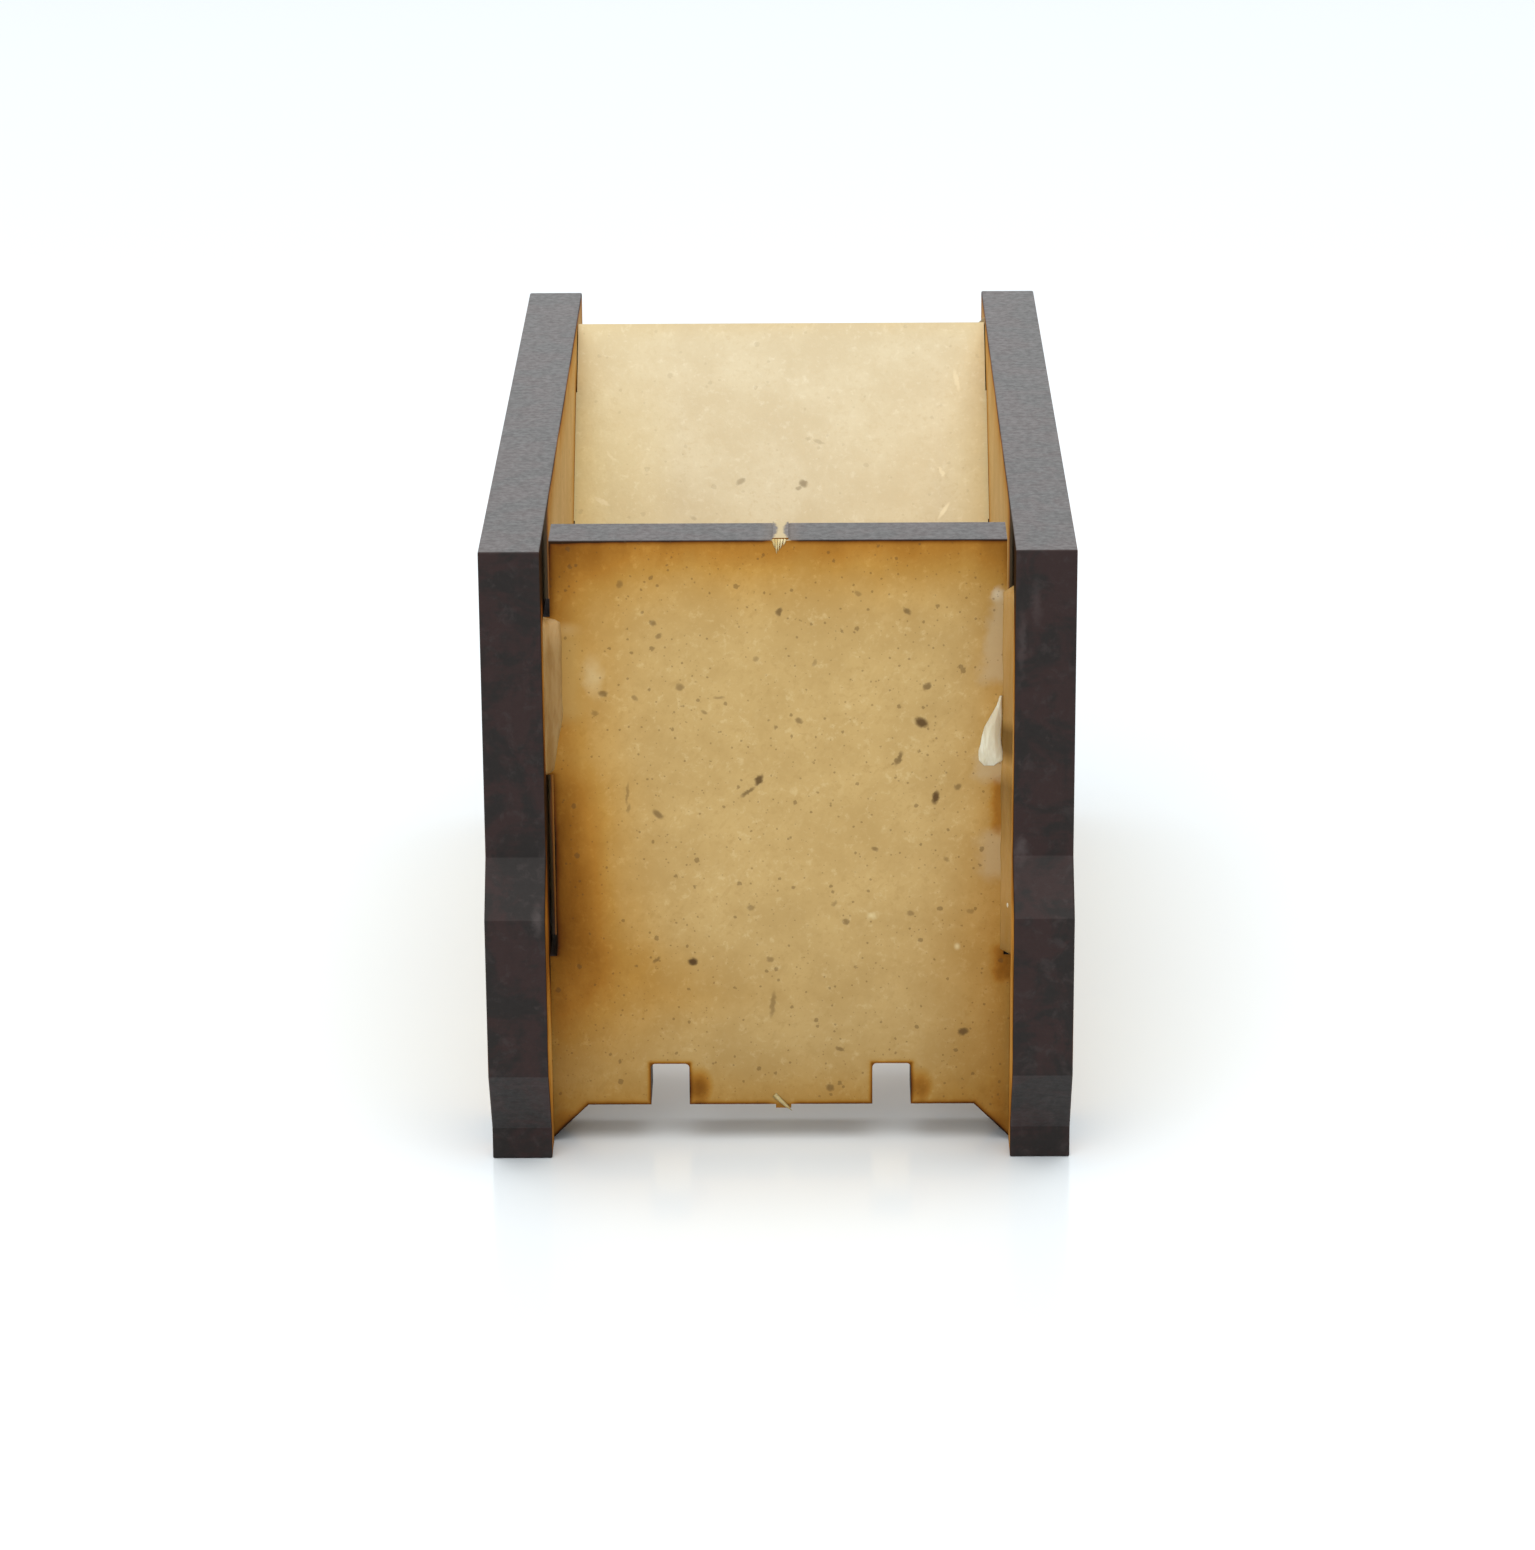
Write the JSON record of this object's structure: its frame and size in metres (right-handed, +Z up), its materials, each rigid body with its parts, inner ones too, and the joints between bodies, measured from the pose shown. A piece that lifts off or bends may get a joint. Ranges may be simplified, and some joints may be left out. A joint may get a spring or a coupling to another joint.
{
  "type": "track ballast spreader",
  "caption": "Open-topped hopper of laser-cut MDF that stands astride model railway track; its notched front panel levels the ballast.",
  "frame": {"origin": "middle of the overall box, on the plane that the side plates stand on", "axes": "+X across the track, +Y along the track away from the notched front panel, +Z up"},
  "size_m": [0.0262, 0.0484, 0.0288],
  "materials": {
    "mdf_plate": "laser-charred edges, scorched faces, matte",
    "mdf_front": "bare MDF, scorched brown along the cut edges",
    "mdf_chute": "bare pale MDF",
    "glue": "dried wood glue, translucent, satin"
  },
  "bodies": {
    "root": {"left_side_plate": "mdf_plate", "right_side_plate": "mdf_plate", "front_panel": "mdf_front", "chute_panel": "mdf_chute", "glue_front_left": "glue", "glue_front_right": "glue", "glue_chute_left": "glue", "glue_chute_right": "glue", "glue_chute_corner": "glue"}
  },
  "joints": []
}
